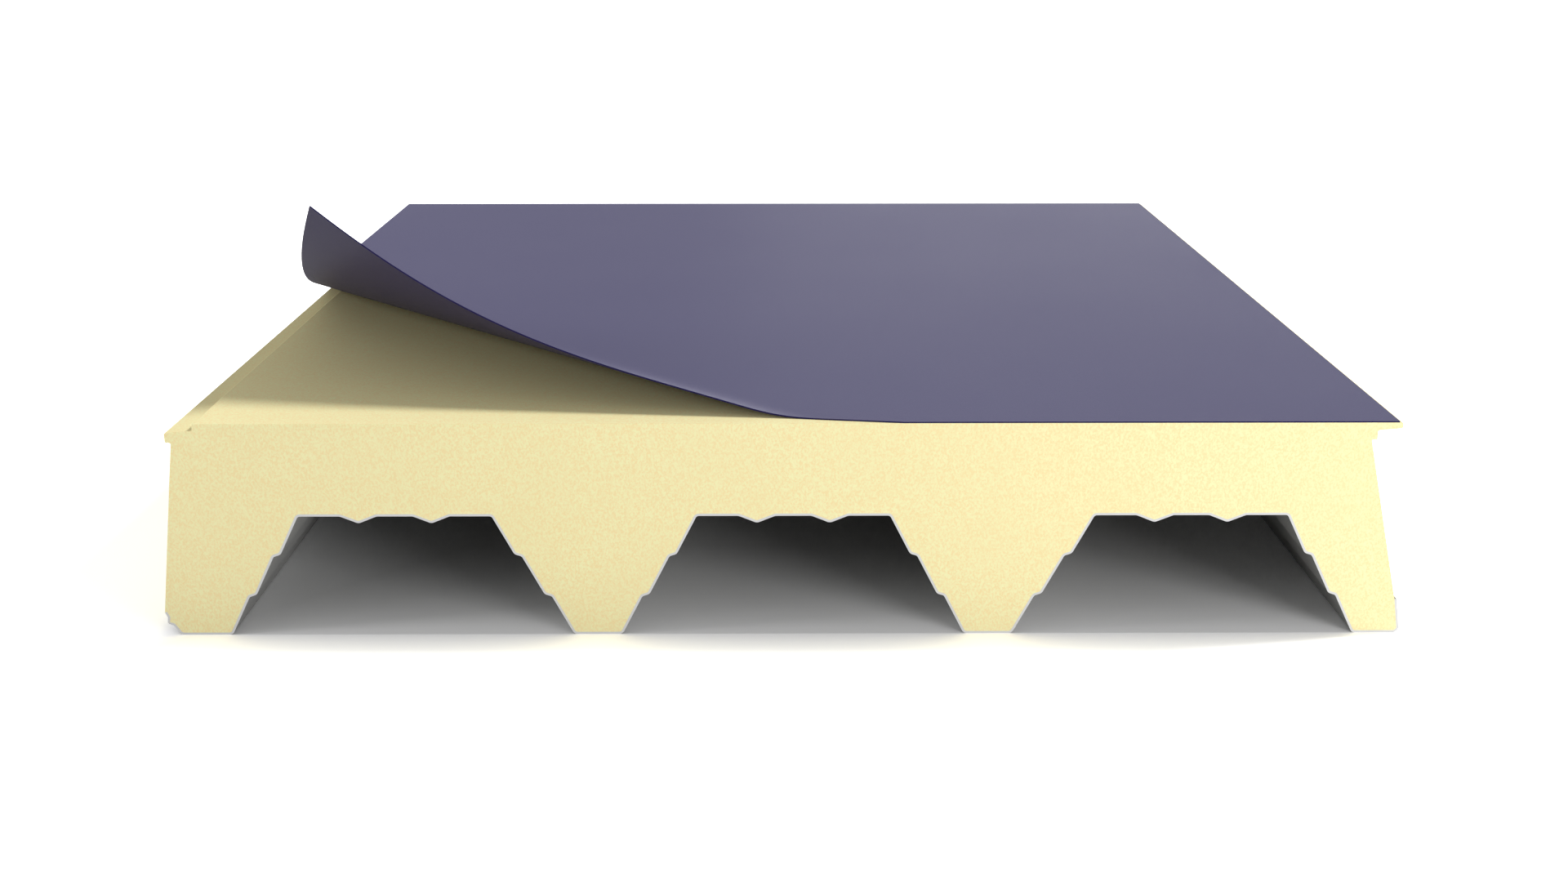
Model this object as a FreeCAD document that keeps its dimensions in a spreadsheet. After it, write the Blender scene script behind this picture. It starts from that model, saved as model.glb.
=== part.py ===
"""Insulated roof-deck panel: profiled steel deck, rigid foam core and roofing membrane.

The panel lies on its bottom flanges. +X runs across the ribs, +Y along them and +Z up.
The origin is on the floor, under the middle of the panel. Lengths are in millimetres
and angles in degrees.
"""
import FreeCAD, Part
import math
import os

from FreeCAD import Rotation, Vector
from Sketcher import Constraint

SIZES = [
    # the panel as a whole
    ("panel_length", 1018.0, "along the ribs"),
    ("rib_pitch", 333.33, "from one trough to the next"),
    ("trough_count", 3, "troughs under the panel"),
    ("foam_cover", 79.1, "foam over the crowns of the deck"),
    # the deck's profile, measured on the side that the foam sticks to
    ("deck_gauge", 2.0, "thickness of the steel"),
    ("deck_depth", 107.9, "from bottom flange to crown"),
    ("crown_width", 164.2, "flat roof of a trough, corner to corner"),
    ("web_angle", 63.05, "slope of the webs"),
    ("jog_run", 6.1, "width of the two stiffening steps in a web"),
    ("jog_drop", 1.9, "height of such a step"),
    ("groove_spacing", 61.0, "between the two grooves in a crown"),
    ("groove_width", 30.1, "each groove, shoulder to shoulder"),
    ("groove_depth", 6.1, "each groove"),
    ("bend_radius", 3.0, "inside of every bend of the profile"),
    # the deck's left edge, which tucks into the foam
    ("hem_flange", 41.6, "bottom flange left of the first trough"),
    ("hem_run", 5.8, "outward run of the sloping part"),
    ("hem_rise", 8.6, "its height"),
    ("bead_run", 3.8, "width of the small bead above it"),
    ("bead_rise", 1.1, "rise of the bead's underside"),
    ("neck_run", 0.7, "how far the bead's face leans back in"),
    ("neck_rise", 4.9, "height of the bead's face"),
    ("hem_tip_run", 2.3, "outward flare of the edge"),
    ("hem_tip_rise", 4.9, "its height"),
    ("hem_radius", 0.5, "inside of the hem's tight bends"),
    # the deck's right edge, which stands up outside the foam
    ("upstand_flange", 37.2, "bottom flange right of the last trough"),
    ("upstand_lean", 5.1, "how far the upstand leans in"),
    ("upstand_rise", 29.0, "its height"),
    # the foam's left side: a ledge for the neighbour's lip
    ("ledge_drop", 5.6, "from the foam's top down to the ledge"),
    ("ledge_width", 23.5, "from the shoulder to the nose"),
    ("ledge_fall", 2.1, "the ledge's slope to the outside"),
    ("nose_depth", 8.5, "height of the nose under the ledge"),
    ("nose_reach", 4.8, "how far the nose stands out of the wall"),
    ("left_wall_lean", 22.6, "how far the wall's top is in from its foot"),
    # the foam's right side: a lip that laps the neighbour's ledge
    ("lip_reach", 20.1, "the lip past its root"),
    ("lip_root_depth", 6.7, "thickness of the lip at its root"),
    ("lip_nose_depth", 5.0, "and at its nose"),
    ("step_width", 4.6, "the shoulder under the lip"),
    ("step_depth", 8.0, "its height"),
    ("right_wall_lean", 35.5, "how far the wall's top is in from its foot"),
    ("joint_radius", 1.4, "rounding of the moulded joint edges"),
    # the membrane and its peeled corner
    ("membrane_thickness", 1.2, "roofing membrane"),
    ("membrane_lap", 37.7, "free lap past the foam's left shoulder"),
    ("membrane_inset", 3.2, "short of the lip's nose on the right"),
    ("peel_front", 620.4, "peeled length of the front edge"),
    ("peel_angle", 45.35, "bend line, from the panel's length"),
    ("peel_depth", 328.6, "from the bend line to the corner, along the membrane"),
    ("peel_radius", 309.5, "of the curl"),
]

doc = FreeCAD.newDocument("insulated_panel")
sheet = doc.addObject("Spreadsheet::Sheet", "Sizes")
for row, (alias, value, note) in enumerate(SIZES, 1):
    sheet.set(f"A{row}", note)
    sheet.set(f"B{row}", str(value))
    sheet.setAlias(f"B{row}", alias)
doc.recompute()


def size(expression):
    """Work out an expression of the sheet's sizes as a number."""
    return float(sheet.evalExpression(expression))


# ---------------------------------------------------------------- the deck's line
# Corners are pairs of expressions, across (x) and up (z), from the middle of the
# trough pattern and the floor. The line is the deck's foam side, from left to right.

FIRST_TROUGH = "-(Sizes.trough_count - 1) / 2 * Sizes.rib_pitch"
FLANGE_UP = "Sizes.deck_gauge"
CROWN_UP = "Sizes.deck_gauge + Sizes.deck_depth"
WEB_RISE = "(Sizes.deck_depth - 2 * Sizes.jog_drop) / 3"
WEB_RUN = f"{WEB_RISE} / tan(Sizes.web_angle)"
FOOT_OUT = f"(Sizes.crown_width / 2 + 3 * {WEB_RUN} + 2 * Sizes.jog_run)"


def web_corners():
    """Corners of a right-hand web, from the crown down to the flange."""
    corners = []
    for flats in (0, 1, 2):
        out = f"Sizes.crown_width / 2 + {flats} * ({WEB_RUN} + Sizes.jog_run)"
        up = f"{CROWN_UP} - {flats} * ({WEB_RISE} + Sizes.jog_drop)"
        corners.append((out, up))
        corners.append((f"{out} + {WEB_RUN}", f"{up} - {WEB_RISE}"))
    return corners


def groove_corners():
    """Corners of the right-hand groove of a crown."""
    middle = "Sizes.groove_spacing / 2"
    return [(f"{middle} - Sizes.groove_width / 2", CROWN_UP),
            (middle, f"{CROWN_UP} - Sizes.groove_depth"),
            (f"{middle} + Sizes.groove_width / 2", CROWN_UP)]


def trough_corners(number):
    """Corners of one whole trough, its left half mirrored from the right."""
    centre = f"{FIRST_TROUGH} + {number} * Sizes.rib_pitch"
    right = groove_corners() + web_corners()
    left = [(f"{centre} - ({out})", up) for out, up in reversed(right)]
    return left + [(f"{centre} + {out}", up) for out, up in right]


def hem_corners():
    """The left edge, from its tip in to the bottom flange."""
    out = f"{FIRST_TROUGH} - {FOOT_OUT} - Sizes.hem_flange"
    up = FLANGE_UP
    corners = [(out, up)]
    for run, rise in (("hem_run", "hem_rise"), ("bead_run", "bead_rise"),
                      ("neck_run", "neck_rise"), ("hem_tip_run", "hem_tip_rise")):
        sign = "+" if run == "neck_run" else "-"
        out = f"{out} {sign} Sizes.{run}"
        up = f"{up} + Sizes.{rise}"
        corners.append((out, up))
    return corners[::-1]


def upstand_corners():
    """The right edge, from the bottom flange up to its tip."""
    foot = f"-({FIRST_TROUGH}) + {FOOT_OUT} + Sizes.upstand_flange"
    return [(foot, FLANGE_UP),
            (f"{foot} - Sizes.upstand_lean", f"{FLANGE_UP} + Sizes.upstand_rise")]


HEM = hem_corners()
UPSTAND = upstand_corners()
TROUGHS = [corner for number in range(int(size("Sizes.trough_count")))
           for corner in trough_corners(number)]
DECK_LINE = HEM + TROUGHS + UPSTAND


def draw(sketch, corners, closed):
    """Draw straight runs from corner to corner and tie each corner to the sheet."""
    places = [Vector(size(out), size(up), 0) for out, up in corners]
    ends = places[1:] + places[:1]
    runs = list(zip(places, ends)) if closed else list(zip(places, ends))[:-1]
    sketch.addGeometry([Part.LineSegment(a, b) for a, b in runs])
    joins = range(0 if closed else 1, len(runs))
    ties = [Constraint("Coincident", (n - 1) % len(runs), 2, n, 1) for n in joins]
    expressions = []
    for n, (out, up) in enumerate(corners):
        line, end = (n, 1) if n < len(runs) else (n - 1, 2)
        ties.append(Constraint("DistanceX", line, end, places[n].x))
        ties.append(Constraint("DistanceY", line, end, places[n].y))
        expressions += [out, up]
    sketch.addConstraint(ties)
    for n, expression in enumerate(expressions, len(joins)):
        sketch.setExpression(f"Constraints[{n}]", expression)


def plane(body, role):
    """One of a body's own origin planes."""
    return next(f for f in body.Origin.OriginFeatures if f.Role == role)


def lengthwise(shape, hollow, region):
    """Edges along the panel inside a region: inside corners if hollow, or outside ones.

    The cut edges of thin sheet, and corners that hardly turn, are left sharp.
    """
    cut_face = 1.5 * size("Sizes.deck_gauge * Sizes.panel_length")
    names = []
    for number, edge in enumerate(shape.Edges, 1):
        middle = edge.CenterOfMass
        reach = edge.Vertexes[-1].Point - edge.Vertexes[0].Point
        if abs(reach.y) < LENGTHWISE * edge.Length or not region.isInside(middle):
            continue
        first, second = shape.ancestorsOfType(edge, Part.Face)
        normals = [face.normalAt(0, 0) for face in (first, second)]
        turn = math.degrees(normals[0].getAngle(normals[1]))
        if turn < SLIGHT_TURN or min(first.Area, second.Area) < cut_face:
            continue
        rise = (second.CenterOfMass - middle).dot(normals[0])
        if (rise > 0) == hollow:
            names.append(f"Edge{number}")
    return names


def round_bends(body, name, region, inside, outside):
    """Fillet a region's inside and outside corners, each with its own radius."""
    for hollow, radius in ((True, inside), (False, outside)):
        edges = lengthwise(body.Shape, hollow, region)
        if not edges:
            continue
        base = body.Tip
        fillet = body.newObject("PartDesign::Fillet", name)
        fillet.Base = (base, edges)
        fillet.setExpression("Radius", radius)
        doc.recompute()


def region_between(left, right, low, high):
    """A box round the whole length of the panel, from expressions across and up."""
    half = size("Sizes.panel_length")
    return FreeCAD.BoundBox(size(left), -half, size(low), size(right), half, size(high))


LENGTHWISE = 0.999
SLIGHT_TURN = 12
BEND = "Sizes.bend_radius"
HEM_BEND = "Sizes.hem_radius"
OVER_GAUGE = "+ Sizes.deck_gauge"
HEM_MIDDLE = f"{HEM[-1][0]} - Sizes.hem_run / 2"
HEM_LEFT = f"{HEM[0][0]} - 2 * Sizes.deck_gauge"
BEAD_TOP = f"{HEM[0][1]} - Sizes.hem_tip_rise / 2"
DECK_RIGHT = f"{UPSTAND[0][0]} + 2 * Sizes.deck_gauge"
UNDER_DECK = "-Sizes.deck_gauge"
OVER_DECK = f"{CROWN_UP} + Sizes.deck_gauge"


# ---------------------------------------------------------------- steel deck

def make_steel_deck():
    """The profiled sheet: its line, given the steel's thickness, with rounded bends."""
    line = doc.addObject("Sketcher::SketchObject", "deck_line")
    line.Placement.Rotation = Rotation(Vector(1, 0, 0), 90)
    draw(line, DECK_LINE, closed=False)
    section = doc.addObject("Part::Offset2D", "deck_section")
    section.Source = line
    section.Mode = "Skin"
    section.Join = "Intersection"
    section.Fill = True
    section.setExpression("Value", "-Sizes.deck_gauge")
    blank = doc.addObject("Part::Extrusion", "deck_blank")
    blank.Base = section
    blank.DirMode = "Custom"
    blank.Dir = Vector(0, 1, 0)
    blank.Symmetric = True
    blank.Solid = True
    blank.setExpression("LengthFwd", "Sizes.panel_length")
    doc.recompute()
    body = doc.addObject("PartDesign::Body", "steel_deck")
    body.BaseFeature = blank
    doc.recompute()
    bends = region_between(HEM_MIDDLE, DECK_RIGHT, UNDER_DECK, OVER_DECK)
    round_bends(body, "bends", bends, BEND, BEND + OVER_GAUGE)
    hem = region_between(HEM_LEFT, HEM_MIDDLE, UNDER_DECK, OVER_DECK)
    round_bends(body, "hem_bends", hem, HEM_BEND, HEM_BEND + OVER_GAUGE)
    return body


# ---------------------------------------------------------------- foam core

FOAM_TOP = f"{CROWN_UP} + Sizes.foam_cover"
HEM_LEAN = "atan(Sizes.hem_tip_run / Sizes.hem_tip_rise)"
LEFT_WALL_FOOT = (f"{HEM[0][0]} - Sizes.deck_gauge * cos({HEM_LEAN})",
                  f"{HEM[0][1]} - Sizes.deck_gauge * sin({HEM_LEAN})")


def left_joint():
    """The ledge that carries the neighbour's lip, from the shoulder down to the wall."""
    wall = f"{LEFT_WALL_FOOT[0]} + Sizes.left_wall_lean"
    nose = f"{wall} - Sizes.nose_reach"
    ledge = f"{FOAM_TOP} - Sizes.ledge_drop"
    nose_top = f"{ledge} - Sizes.ledge_fall"
    nose_foot = f"{nose_top} - Sizes.nose_depth"
    shoulder = f"{nose} + Sizes.ledge_width"
    return [(shoulder, FOAM_TOP), (shoulder, ledge), (nose, nose_top),
            (nose, nose_foot), (wall, nose_foot)]


def right_joint():
    """The lip and the shoulder under it, from the wall up to the foam's top."""
    wall = f"{UPSTAND[-1][0]} - Sizes.right_wall_lean"
    root = f"{wall} + Sizes.step_width"
    nose = f"{root} + Sizes.lip_reach"
    lip = f"{FOAM_TOP} - Sizes.lip_root_depth"
    step = f"{lip} - Sizes.step_depth"
    return [(wall, step), (root, step), (root, lip),
            (nose, f"{FOAM_TOP} - Sizes.lip_nose_depth"), (nose, FOAM_TOP)]


LEFT_JOINT = left_joint()
RIGHT_JOINT = right_joint()


def make_foam_core():
    """The foam: it fills the deck's profile and has a lap joint along each side."""
    body = doc.addObject("PartDesign::Body", "foam_core")
    sketch = body.newObject("Sketcher::SketchObject", "foam_section")
    sketch.AttachmentSupport = (plane(body, "XZ_Plane"), "")
    sketch.MapMode = "FlatFace"
    draw(sketch, DECK_LINE + RIGHT_JOINT + LEFT_JOINT + [LEFT_WALL_FOOT], closed=True)
    block = body.newObject("PartDesign::Pad", "foam_block")
    block.Profile = sketch
    block.SideType = "Symmetric"
    block.setExpression("Length", "Sizes.panel_length")
    doc.recompute()
    bends = region_between(HEM_MIDDLE, DECK_RIGHT, UNDER_DECK, OVER_DECK)
    round_bends(body, "bends", bends, BEND + OVER_GAUGE, BEND)
    hem = region_between(HEM_LEFT, HEM_MIDDLE, UNDER_DECK, BEAD_TOP)
    round_bends(body, "hem_bends", hem, HEM_BEND + OVER_GAUGE, HEM_BEND)
    joints = region_between(HEM_LEFT, DECK_RIGHT, OVER_DECK, FOAM_TOP + OVER_GAUGE)
    round_bends(body, "joint_edges", joints, "Sizes.joint_radius", "Sizes.joint_radius")
    return body


# ---------------------------------------------------------------- roof membrane

MEMBRANE_LEFT = f"({LEFT_JOINT[0][0]} - Sizes.membrane_lap)"
MEMBRANE_RIGHT = f"({RIGHT_JOINT[-1][0]} - Sizes.membrane_inset)"
FRONT = "-Sizes.panel_length / 2"
BACK = "Sizes.panel_length / 2"
PEEL_START = (f"{MEMBRANE_LEFT} + Sizes.peel_front", FRONT)
PEEL_END = (MEMBRANE_LEFT, f"{FRONT} + Sizes.peel_front / tan(Sizes.peel_angle)")
BEND_LENGTH = "Sizes.peel_front / sin(Sizes.peel_angle)"
CORNER_ALONG = "Sizes.peel_front * sin(Sizes.peel_angle)"


def make_flat_membrane():
    """The part of the membrane that is stuck down: all but the peeled corner."""
    body = doc.addObject("PartDesign::Body", "stuck_membrane")
    sketch = body.newObject("Sketcher::SketchObject", "stuck_outline")
    sketch.AttachmentSupport = (plane(body, "XY_Plane"), "")
    sketch.MapMode = "FlatFace"
    sketch.setExpression("AttachmentOffset.Base.z", FOAM_TOP)
    draw(sketch, [PEEL_START, (MEMBRANE_RIGHT, FRONT), (MEMBRANE_RIGHT, BACK),
                  (MEMBRANE_LEFT, BACK), PEEL_END], closed=True)
    pad = body.newObject("PartDesign::Pad", "stuck_sheet")
    pad.Profile = sketch
    pad.setExpression("Length", "Sizes.membrane_thickness")
    return body


def make_peeled_corner():
    """The free corner: a triangle drawn flat and rolled on a cylinder.

    The bend line runs from the front edge to the left edge. The cylinder lies along it,
    over the foam, and its lowest line is the bend line.
    """
    thickness = size("Sizes.membrane_thickness")
    radius = size("Sizes.peel_radius") + thickness
    roll = Part.Cylinder()
    roll.Radius = radius
    corner = (size("Sizes.peel_depth") / radius, size(CORNER_ALONG))
    blank = [(0, 0), (0, size(BEND_LENGTH)), corner]
    edges = [Part.Geom2d.Line2dSegment(Vector2d(*a), Vector2d(*b)).toShape(roll)
             for a, b in zip(blank, blank[1:] + blank[:1])]
    underside = Part.Face(roll, Part.Wire(edges))
    underside.validate()
    curl = doc.addObject("Part::Feature", "peeled_corner")
    curl.Shape = underside.makeOffsetShape(-thickness, MODEL_TOLERANCE, fill=True)
    angle = math.radians(size("Sizes.peel_angle"))
    along = Vector(-math.sin(angle), math.cos(angle), 0)
    outward = Vector(-math.cos(angle), -math.sin(angle), 0)
    start = Vector(*(size(place) for place in PEEL_START), size(FOAM_TOP) + radius)
    curl.Placement = FreeCAD.Placement(start, Rotation(Vector(0, 0, -1), outward, along, "XYZ"))
    return curl


def make_roof_membrane():
    """The membrane as the one sheet that it is."""
    membrane = doc.addObject("Part::MultiFuse", "roof_membrane")
    membrane.Shapes = [make_flat_membrane(), make_peeled_corner()]
    return membrane


MODEL_TOLERANCE = 1e-4
Vector2d = FreeCAD.Base.Vector2d

# ---------------------------------------------------------------- the panel

pieces = [make_steel_deck(), make_foam_core(), make_roof_membrane()]
doc.recompute()

deck_box = pieces[0].Shape.optimalBoundingBox()
for piece in pieces:
    piece.Label = piece.Name
    piece.Placement.Base = Vector(-deck_box.Center.x, 0, 0)
doc.recompute()

for item in doc.Objects:
    if "Invalid" in item.State or "Error" in item.State:
        raise RuntimeError(f"{item.Name} did not build")
for piece in pieces:
    if piece.Shape.isNull() or not piece.Shape.isValid():
        raise RuntimeError(f"{piece.Label} has no valid shape")

os.makedirs("parts", exist_ok=True)
for piece in pieces:
    piece.Shape.exportStep(f"parts/{piece.Label}.step")
    box = piece.Shape.optimalBoundingBox()
    print(f"{piece.Label}: {len(piece.Shape.Solids)} solid, {piece.Shape.Volume / 1e6:.4f} litres,",
          f"x {box.XMin:.2f} to {box.XMax:.2f}, y {box.YMin:.2f} to {box.YMax:.2f},",
          f"z {box.ZMin:.2f} to {box.ZMax:.2f}")
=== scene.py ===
# %% [markdown]
# # Insulated roof deck panel, with its membrane peeled back
#
# This is a roof panel in three layers: a ribbed steel deck below, a body of
# rigid foam bonded to it, and a thin waterproof sheet laid on top, whose front
# left corner has been lifted and rolled back to show the foam.
#
# The steel and the foam arrive from the CAD model and stay exactly as they are.
# Here they get their finishes, and the sheet gets a smoother shape than CAD
# gives it. Everything is in metres, +X runs across the ribs, +Y runs away from
# the peeled end, and Z is up from the floor.

# %% Load the fixed frame
import math

import bpy
from mathutils import Euler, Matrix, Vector


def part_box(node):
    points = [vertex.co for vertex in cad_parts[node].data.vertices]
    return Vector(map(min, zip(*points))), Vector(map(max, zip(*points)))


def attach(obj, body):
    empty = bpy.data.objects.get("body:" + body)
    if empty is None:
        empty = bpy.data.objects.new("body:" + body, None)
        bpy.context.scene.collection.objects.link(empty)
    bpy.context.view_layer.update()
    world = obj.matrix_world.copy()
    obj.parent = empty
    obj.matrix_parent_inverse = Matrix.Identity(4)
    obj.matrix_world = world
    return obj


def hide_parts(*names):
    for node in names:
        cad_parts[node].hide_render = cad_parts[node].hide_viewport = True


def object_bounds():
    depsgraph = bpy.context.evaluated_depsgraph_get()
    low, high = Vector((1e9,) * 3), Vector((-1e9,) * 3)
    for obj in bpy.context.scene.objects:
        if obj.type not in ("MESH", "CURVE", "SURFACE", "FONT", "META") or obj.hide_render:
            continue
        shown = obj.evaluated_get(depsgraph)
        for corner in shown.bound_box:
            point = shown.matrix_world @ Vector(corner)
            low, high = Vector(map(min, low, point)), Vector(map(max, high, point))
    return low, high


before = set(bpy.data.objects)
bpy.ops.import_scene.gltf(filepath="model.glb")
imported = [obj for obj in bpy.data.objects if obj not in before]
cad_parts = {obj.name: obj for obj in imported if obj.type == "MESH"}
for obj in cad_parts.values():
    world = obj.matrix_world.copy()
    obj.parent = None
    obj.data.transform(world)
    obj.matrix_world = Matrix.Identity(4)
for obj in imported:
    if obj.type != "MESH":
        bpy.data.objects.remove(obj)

cad_box = [list(corner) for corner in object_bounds()]
print("CAD nodes:", sorted(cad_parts))
print("CAD box:", [[round(value, 4) for value in corner] for corner in cad_box])

# %% [markdown]
# ## Camera
#
# The camera is placed first, because the light and every finish are judged
# through it. It stands low in front of the panel, a little left of its middle,
# and looks slightly down, so that the ribbed end fills the lower half of the
# view and the top shows in perspective. Its lens is a moderate wide angle. The
# Standard view shows each colour as it is written.

# %% Set up the camera
CAMERA_PLACE = (-0.00612, -1.78818, 0.59695)
LOOKS_DOWN = 18.304                # degrees below level
TURNED = -0.279                    # degrees about Z, so slightly to the right
SENSOR_WIDTH = 36.0                # millimetres, as the focal length is
FOCAL_LENGTH = 37.55
lens = bpy.data.cameras.new("camera")
lens.sensor_width = SENSOR_WIDTH
lens.lens = FOCAL_LENGTH
camera = bpy.data.objects.new("camera", lens)
bpy.context.scene.collection.objects.link(camera)
camera.location = CAMERA_PLACE
camera.rotation_euler = Euler((math.radians(90 - LOOKS_DOWN), 0, math.radians(TURNED)))
bpy.context.scene.camera = camera
bpy.context.scene.view_settings.view_transform = "Standard"
print("camera at", tuple(camera.location), "lens", lens.lens)

# %% [markdown]
# ## Light
#
# A soft key light comes from above, behind and to the right, and throws the
# shadow of the lifted corner forwards onto the foam. A low broad panel in front
# and to the right brings up the sawn end of the foam, more on the right than on
# the left. Four weaker panels help it: one straight ahead, two on the left, one
# high and one low, that light the mouths of the troughs, and one behind on the
# right that gives the roof membrane its sheen. The sky does the rest. A sun lamp
# is used for the key because its light is even over the whole panel. Together
# they are a little stronger than plain light, so the foam's right end renders
# brighter than the colour it is given. The camera doesn't see the lamps.

# %% Place the lamps
def lamp(name, kind, energy, place, target, **settings):
    """A lamp at place that looks at target."""
    data = bpy.data.lights.new(name, kind)
    data.energy = energy
    for key, value in settings.items():
        setattr(data, key, value)
    made = bpy.data.objects.new(name, data)
    made.location = place
    made.rotation_euler = (Vector(target) - Vector(place)).to_track_quat("-Z", "Y").to_euler()
    made.visible_camera = False
    bpy.context.scene.collection.objects.link(made)
    print(name, [round(value, 2) for value in place], energy)


lamp("key", "SUN", 2.75, (2.8, 0.90, 3.12), (0, 0, 0.12), angle=math.radians(12))
lamp("right_panel", "AREA", 37, (1.64, -2.11, 0.31), (0.1, -0.5, 0.1),
     shape="RECTANGLE", size=1.0, size_y=0.42)
lamp("front_panel", "AREA", 3, (0.2, -3.6, 0.6), (0.0, -0.5, 0.1),
     shape="RECTANGLE", size=2.4, size_y=0.9)
lamp("left_high", "AREA", 4.5, (-1.8, -0.82, 0.88), (-0.35, -0.5, 0.0),
     shape="RECTANGLE", size=0.3, size_y=0.3)
lamp("left_low", "AREA", 12, (-2.9, -1.75, 0.30), (0.1, -0.5, 0.08),
     shape="RECTANGLE", size=0.8, size_y=0.4)
lamp("back_panel", "AREA", 21, (1.1, 3.9, 0.50), (0.4, 0.2, 0.19),
     shape="RECTANGLE", size=2.4, size_y=0.6)

# %% [markdown]
# ## Shader arithmetic in Python
#
# A material is a graph of nodes, but it is easier to read as a sum. The small
# class below wraps one socket, so that `1 - mask * 0.3` adds the Math nodes that
# work it out. Every other node is added by one method, which takes the node's
# type, its settings, and then the values or links of its sockets.

# %% Wrap a socket so that it can be calculated with
class Wire:
    """One output socket, usable in Python sums."""

    def __init__(self, finish, socket):
        self.finish = finish
        self.socket = socket

    def _sum(self, operation, first, second, clamp=False):
        return self.finish.node("ShaderNodeMath", {"operation": operation, "use_clamp": clamp},
                                {0: first, 1: second})

    def __add__(self, other):
        return self._sum("ADD", self, other)

    def __radd__(self, other):
        return self._sum("ADD", other, self)

    def __sub__(self, other):
        return self._sum("SUBTRACT", self, other)

    def __rsub__(self, other):
        return self._sum("SUBTRACT", other, self)

    def __mul__(self, other):
        return self._sum("MULTIPLY", self, other)

    def __abs__(self):
        return self._sum("ABSOLUTE", self, 0)

    def held(self):
        return self._sum("ADD", self, 0, clamp=True)

    def above(self, level):
        return self._sum("GREATER_THAN", self, level)

    def larger(self, other):
        return self._sum("MAXIMUM", self, other)


# %% Describe a finish as a material
class Finish:
    """A material under construction."""

    def __init__(self, name):
        self.material = bpy.data.materials.new(name)
        self.material.use_nodes = True
        self.tree = self.material.node_tree
        self.tree.nodes.clear()

    def node(self, kind, settings=None, inputs=None, out=0):
        """Adds one node: its settings first, then the values or links of its sockets."""
        made = self.tree.nodes.new(kind)
        for key, value in (settings or {}).items():
            setattr(made, key, value)
        for key, value in (inputs or {}).items():
            socket = made.inputs[key] if isinstance(key, int) else next(
                s for s in made.inputs if key in (s.identifier, s.name))
            if isinstance(value, Wire):
                self.tree.links.new(value.socket, socket)
            else:
                socket.default_value = value
        if not made.outputs:
            return None
        if isinstance(out, int):
            return Wire(self, made.outputs[out])
        return Wire(self, next(s for s in made.outputs if out in (s.identifier, s.name)))

    def place(self, scale=(1, 1, 1), turn=(0, 0, 0)):
        """Object coordinates in metres, stretched and turned."""
        spot = self.node("ShaderNodeTexCoord", out="Object")
        return self.node("ShaderNodeMapping", {}, {"Vector": spot, "Rotation": turn, "Scale": scale})

    def noise(self, spot, scale, detail=2.0, roughness=0.5, distortion=0.0):
        return self.node("ShaderNodeTexNoise", {}, {"Vector": spot, "Scale": scale, "Detail": detail,
                         "Roughness": roughness, "Distortion": distortion}, out="Fac")

    def tone(self, mask, first, second):
        """One colour where mask is 0, the other where it is 1."""
        return self.node("ShaderNodeMix", {"data_type": "RGBA"},
                         {"Factor_Float": mask, "A_Color": first, "B_Color": second}, out="Result_Color")

    def facing(self):
        """The surface's own direction as three wires."""
        normal = self.node("ShaderNodeNewGeometry", out="True Normal")
        split = self.node("ShaderNodeSeparateXYZ", {}, {"Vector": normal})
        return [Wire(self, socket) for socket in split.socket.node.outputs]

    def bump(self, height, distance, strength=1.0):
        return self.node("ShaderNodeBump", {}, {"Height": height, "Distance": distance, "Strength": strength},
                         out="Normal")

    def surface(self, **sockets):
        """Ends the graph with a Principled surface."""
        shader = self.node("ShaderNodeBsdfPrincipled", {}, {
            name.replace("_", " "): value for name, value in sockets.items()}, out="BSDF")
        self.show(shader)
        return self.material

    def show(self, shader):
        self.node("ShaderNodeOutputMaterial", {}, {"Surface": shader})
        print(self.material.name, "has", len(self.tree.nodes), "nodes")


def colour(red, green, blue):
    """A colour as a screen shows it, 0 to 255, as the linear numbers that Blender works in."""
    def linear(value):
        value /= 255
        return value / 12.92 if value <= 0.04045 else ((value + 0.055) / 1.055) ** 2.4
    return (linear(red), linear(green), linear(blue), 1.0)


# %% [markdown]
# ## Floor and background
#
# The panel stands on a pale floor that runs out of sight. It isn't one plain
# colour: light and shade are painted into it, place by place. Around the panel the
# camera sees it brighter than white, a painted light that washes out the outer
# part of the shadow. Under the panel the camera sees it darker the deeper it
# lies, a painted shade, and bounced light meets a dark grey there, against a pale
# grey around, which is painted shade too. Both make the ground inside the troughs
# darker than the lamps alone would on a plain floor. Mirrored rays see nearly
# white. It is a stage, not a part of the panel.

# %% Lay the floor
for thing in bpy.context.selected_objects:
    thing.select_set(False)
bpy.ops.mesh.primitive_plane_add(size=60, location=(0, 0, 0))
floor = bpy.context.active_object
floor.name = "floor"

ground = Finish("floor")
high = Vector(cad_box[1])
INSET = 0.022                      # the shaded ground ends this far inside the panel's sides
FULL_OUT = 0.035                   # how far out the floor is at its brightest
DARKEST_IN, LIGHTEST_IN = -0.2, -0.01  # where under the panel the shading starts and ends
BESIDE, BRIGHTEST = 1.35, 1.9      # what the camera sees around the panel, where 1 is white
DARKEST, LIGHTEST = 0.56, 1.0      # and under it
rays = ground.node("ShaderNodeLightPath").socket.node.outputs
seen = Wire(ground, rays["Is Camera Ray"])
mirrored = (Wire(ground, rays["Is Glossy Ray"]) + Wire(ground, rays["Is Transmission Ray"])).held()
spot = ground.node("ShaderNodeTexCoord", out="Object")
split = ground.node("ShaderNodeSeparateXYZ", {}, {"Vector": spot})
x, y = [Wire(ground, socket) for socket in split.socket.node.outputs][:2]
outside = (abs(x) - high.x + INSET).larger(abs(y) - high.y)
# painted light: beside the panel the camera sees the floor brighter than white, washing out the shadow
painted_glow = ground.node("ShaderNodeMapRange", {}, {
    "Value": outside, "From Min": 0.0, "From Max": FULL_OUT, "To Min": BESIDE, "To Max": BRIGHTEST})
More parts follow.
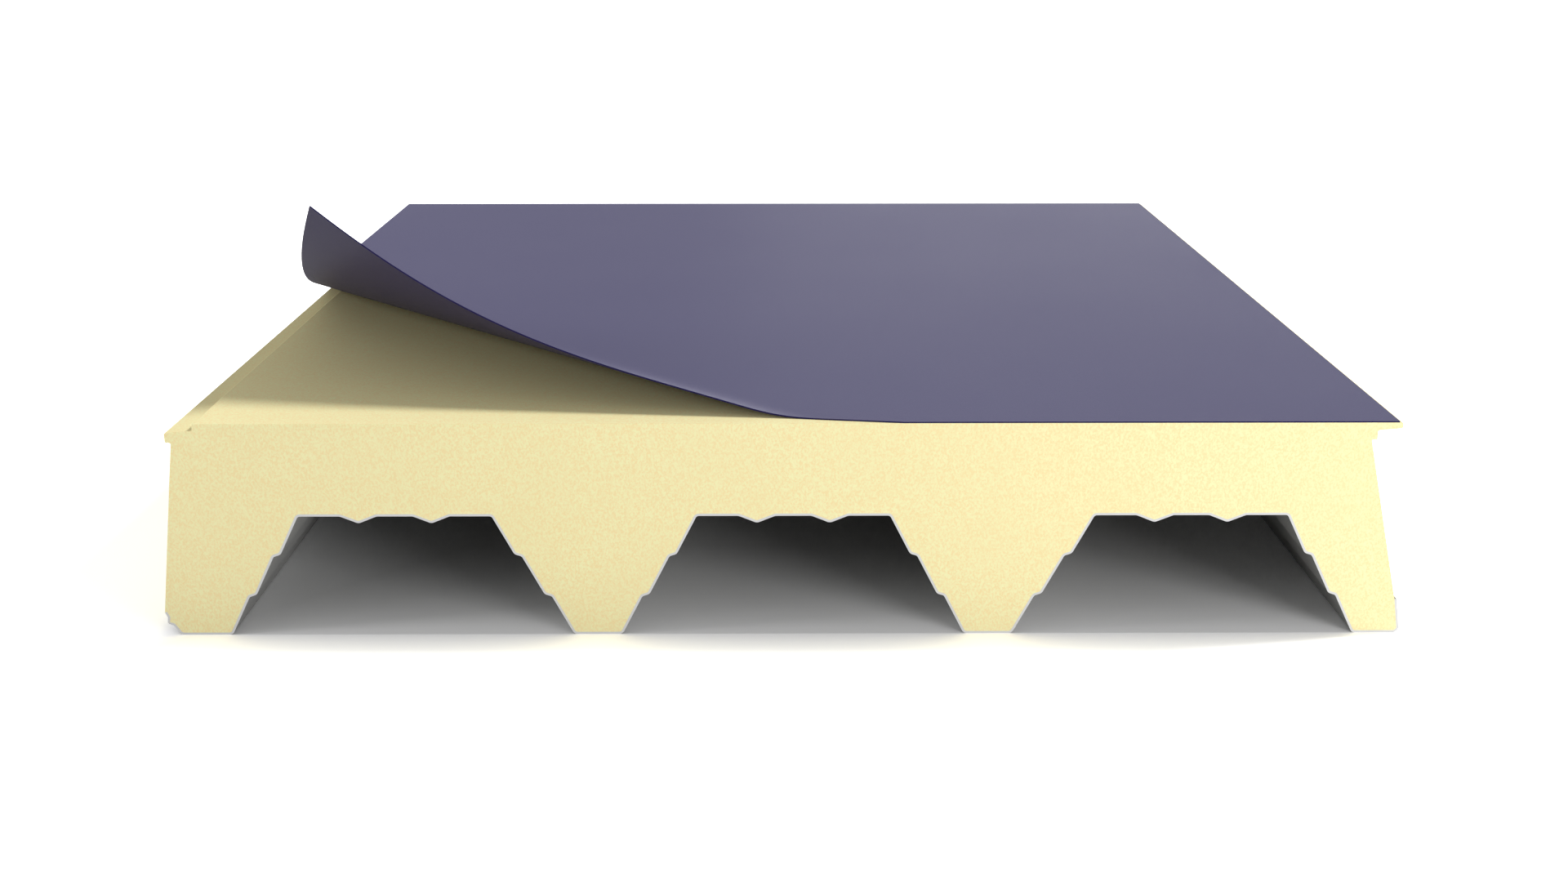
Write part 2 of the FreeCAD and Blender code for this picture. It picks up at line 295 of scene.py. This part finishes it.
# painted shade: under the panel the camera sees the floor darker the deeper it lies
painted_shade_under = ground.node("ShaderNodeMapRange", {}, {
    "Value": outside, "From Min": DARKEST_IN, "From Max": LIGHTEST_IN, "To Min": DARKEST, "To Max": LIGHTEST})
under = 1 - outside.above(0.0)
shade = painted_glow * (1 - under) + under * painted_shade_under
pale = ground.node("ShaderNodeCombineColor", {}, {"Red": shade, "Green": shade, "Blue": shade})
# painted shade: bounced light meets a dark grey under the panel, so less light bounces into the troughs
bounced = ground.tone(under, colour(205, 205, 205), colour(80, 80, 80))
bounced = ground.tone(mirrored, bounced, colour(235, 235, 235))
ground.show(ground.node("ShaderNodeBsdfDiffuse", {}, {
    "Color": ground.tone(seen, bounced, pale)}, out="BSDF"))
floor.data.materials.append(ground.material)
print("floor", floor.dimensions[:2])

# %% Light the sky
SKY_LIGHT = 0.41                   # what the sky adds to the lamps
SKY_SHOWN = 1.0                    # white, to the camera and in reflections
sky = bpy.data.worlds.new("sky")
bpy.context.scene.world = sky
sky.use_nodes = True
links, nodes = sky.node_tree.links, sky.node_tree.nodes
nodes.clear()


def background(strength):
    made = nodes.new("ShaderNodeBackground")
    made.inputs["Color"].default_value = (1, 1, 1, 1)
    made.inputs["Strength"].default_value = strength
    return made.outputs[0]


path, end = nodes.new("ShaderNodeLightPath"), nodes.new("ShaderNodeOutputWorld")
shown = background(SKY_LIGHT)
for kind in ("Is Camera Ray", "Is Glossy Ray", "Is Transmission Ray"):
    choice = nodes.new("ShaderNodeMixShader")
    for socket, link in zip(choice.inputs, (path.outputs[kind], shown, background(SKY_SHOWN))):
        links.new(link, socket)
    shown = choice.outputs[0]
links.new(shown, end.inputs[0])
print("sky has", len(nodes), "nodes")

# %% [markdown]
# ## Rigid foam
#
# The core is a closed-cell foam that rises and sets between the facings, and is
# sawn to length. Its sawn end is a pale cream, mottled by cells a millimetre or
# two across, some yellower and some pinker. A Voronoi texture could draw each
# cell, but the eye sees a soft curdled grain, so a curdled noise and a fine grain
# mix two close tones, and a broad patchy noise adds a third. The grain also sets
# how rough the surface is.

# %% Finish the foam
foam = Finish("sawn_foam")
spot = foam.place()
curd = foam.noise(spot, 230, 2.0, 0.55, 1.4)
grain = foam.noise(foam.place(scale=(1, 1, 0.7), turn=(0, 0.6, 0.3)), 660, 1.0, 0.5, 0.6)
patch = foam.noise(spot, 14, 2.0, 0.5)
pinker, yellower = colour(231, 212, 158), colour(231, 227, 177)
cream = foam.tone(((curd * 0.5 + grain * 0.9 - 0.7) * 3.6 + 0.5).held(), pinker, yellower)
cream = foam.tone(((patch - 0.5) * 1.6 + 0.5).held() * 0.35, cream, colour(228, 215, 163))
foam_finish = foam.surface(Base_Color=cream, Roughness=0.85 + grain * 0.12, Specular_IOR_Level=0.25,
                           Normal=foam.bump(curd + grain * 0.6, 0.0004, 0.12))

# %% [markdown]
# ## Coated steel
#
# The deck is coil-coated steel, so its faces are painted before it is rolled:
# smooth and slightly glossy. Its coat is given a mid grey, darker than the pale
# grey that such a coat has, as painted shade that darkens the webs inside the
# troughs. Only its sawn ends show bright metal. The coat has the faint orange peel
# of sprayed paint. The same material finds the sawn ends by the direction that
# they face.

# %% Finish the steel
steel = Finish("painted_steel")
along = steel.facing()[1]
sawn = abs(along).above(0.9)
spot = steel.place()
peel = steel.noise(spot, 420, 2.0, 0.5)
film = steel.noise(steel.place(scale=(1, 0.12, 1)), 26, 3.0, 0.55)
# painted shade: the coat's mid grey stands in for the shade inside the troughs
coat_with_painted_shade = steel.tone(film, colour(134, 134, 132), colour(142, 142, 140))
steel_finish = steel.surface(
    Base_Color=steel.tone(sawn, coat_with_painted_shade, colour(200, 200, 200)),
    Roughness=0.42 + film * 0.16, Specular_IOR_Level=0.4,
    Normal=steel.bump(peel, 0.0002, 0.25))

# %% Hand the finishes to the CAD pieces
for node, finish in (("foam_core", foam_finish), ("steel_deck", steel_finish)):
    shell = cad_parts[node]
    shell.data.materials.clear()
    shell.data.materials.append(finish)
    print(node, "wears", finish.name)

# %% [markdown]
# ## Roof membrane
#
# The sheet is 1.2 mm thick and was cut to the panel's length. It lies flat on
# the foam but for its front left corner, which is lifted and rolls back. A sheet
# like this is stiff, so the lifted part turns about straight lines, all parallel
# to the line where it leaves the foam. A flat plane is cut along those lines and
# each cut is then lifted to its place, which keeps every strip flat.
#
# The strips don't keep their width. The plane starts with a square corner, which
# would reach 0.434 m from that line, and its depth is scaled to 0.3266 m as it is
# rolled. So the sheet stands for a blank whose corner is cut back.

# %% Say where the sheet lies and how it rolls
core_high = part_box("foam_core")[1]
sheet_low, sheet_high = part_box("roof_membrane")
THICKNESS = 0.0012
left, right = sheet_low.x, sheet_high.x
front, back = sheet_low.y, sheet_high.y
LEAVES_FRONT_AT = 0.0988           # where the roll line meets the front edge
ROLL_ANGLE = math.radians(45.8)    # of the roll line, from +Y towards -X
ROLL_DEPTH = 0.3266                # from that line to the loose corner, along the sheet
LIFT = (math.radians(23.6), 0.0385, 0.0438)  # the first turn, where it starts, how far it takes
CURL = (math.radians(37.1), 0.1075, 0.2390)  # the second, slower turn
start = Vector((LEAVES_FRONT_AT, front, 0))
ruling = Vector((-math.sin(ROLL_ANGLE), math.cos(ROLL_ANGLE), 0))
away = Vector((-math.cos(ROLL_ANGLE), -math.sin(ROLL_ANGLE), 0))
uncut_depth = (Vector((left, front, 0)) - start).dot(away)
print("sheet", round(right - left, 4), "x", round(back - front, 4))
print("a square corner would be", round(uncut_depth, 4), "from the roll line")

# %% Lay the flat sheet and cut it along its rulings
for thing in bpy.context.selected_objects:
    thing.select_set(False)
bpy.ops.mesh.primitive_plane_add(size=1, location=((left + right) / 2, (front + back) / 2, core_high.z))
sheet = bpy.context.active_object
sheet.name = "membrane_sheet"
sheet.scale = (right - left, back - front, 1)
bpy.ops.object.transform_apply(location=True, rotation=False, scale=True)
STRIPS = 96
FLAT_STRIP = 0.006                 # one more cut, this far before the roll line
bpy.ops.object.mode_set(mode="EDIT")
for distance in [-FLAT_STRIP] + [uncut_depth * strip / STRIPS for strip in range(STRIPS)]:
    bpy.ops.mesh.select_all(action="SELECT")
    bpy.ops.mesh.bisect(plane_co=start + away * distance, plane_no=away)
bpy.ops.object.mode_set(mode="OBJECT")
print("flat sheet has", len(sheet.data.polygons), "faces")

# %% Roll the loose corner
def slope(run):
    """The sheet's slope at a distance past the roll line."""
    def eased(turn, begins, takes):
        share = min(max((run - begins) / takes, 0), 1)
        return turn * share * share * (3 - 2 * share)
    return eased(*LIFT) + eased(*CURL)


def rolled(run, steps=400):
    """How far out and how high the sheet is at that distance."""
    pieces = [slope(run * (step + 0.5) / steps) for step in range(steps)]
    return (sum(math.cos(piece) for piece in pieces) * run / steps,
            sum(math.sin(piece) for piece in pieces) * run / steps)


for corner in sheet.data.vertices:
    from_start = Vector((corner.co.x, corner.co.y, 0)) - start
    depth = from_start.dot(away)
    if depth > 1e-6:
        out, up = rolled(depth * ROLL_DEPTH / uncut_depth)
        place = start + ruling * from_start.dot(ruling) + away * out
        corner.co = (place.x, place.y, core_high.z + up)
tip = max(sheet.data.vertices, key=lambda corner: corner.co.z)
print("loose corner is at", [round(value, 4) for value in tip.co])

# %% [markdown]
# The top of the sheet is a blue-grey coat with a fine matt texture. Below, the
# sheet's back is given a darker colour, and the knife-cut edge a darker one still,
# which draws the thin line round the sheet.

# %% Finish the membrane
def membrane_finish(name, tint, dark, rough, gloss):
    made = Finish(name)
    spot = made.place()
    speckle = made.noise(spot, 1400, 2.0, 0.6)
    cloud = made.noise(spot, 3.2, 2.0, 0.5)
    body = made.tone(((speckle - 0.5) * 2.2 + 0.5).held(), dark, tint)
    return made.surface(Base_Color=body, Roughness=rough + cloud * 0.08, Specular_IOR_Level=gloss,
                        Normal=made.bump(speckle, 0.0003, 0.35))


for finish in (membrane_finish("membrane_top", colour(85, 83, 111), colour(79, 77, 105), 0.50, 0.05),
               membrane_finish("membrane_back", colour(62, 58, 82), colour(56, 52, 76), 0.40, 0.06),
               membrane_finish("membrane_edge", colour(32, 28, 68), colour(27, 24, 60), 0.5, 0.05)):
    sheet.data.materials.append(finish)

# %% Give the sheet its thickness
for face in sheet.data.polygons:
    face.use_smooth = True
CREASE = math.radians(35)          # sharper edges than this stay sharp
solid = sheet.modifiers.new("thickness", "SOLIDIFY")
solid.thickness = THICKNESS
solid.offset = 1
solid.use_even_offset = True
solid.material_offset = 1
solid.material_offset_rim = 2
bpy.context.view_layer.objects.active = sheet
bpy.ops.object.modifier_apply(modifier="thickness")
sheet.select_set(True)
bpy.ops.object.shade_smooth_by_angle(angle=CREASE)
print("sheet has", len(sheet.data.polygons), "faces")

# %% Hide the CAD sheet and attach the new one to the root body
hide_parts("roof_membrane")
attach(sheet, "root")
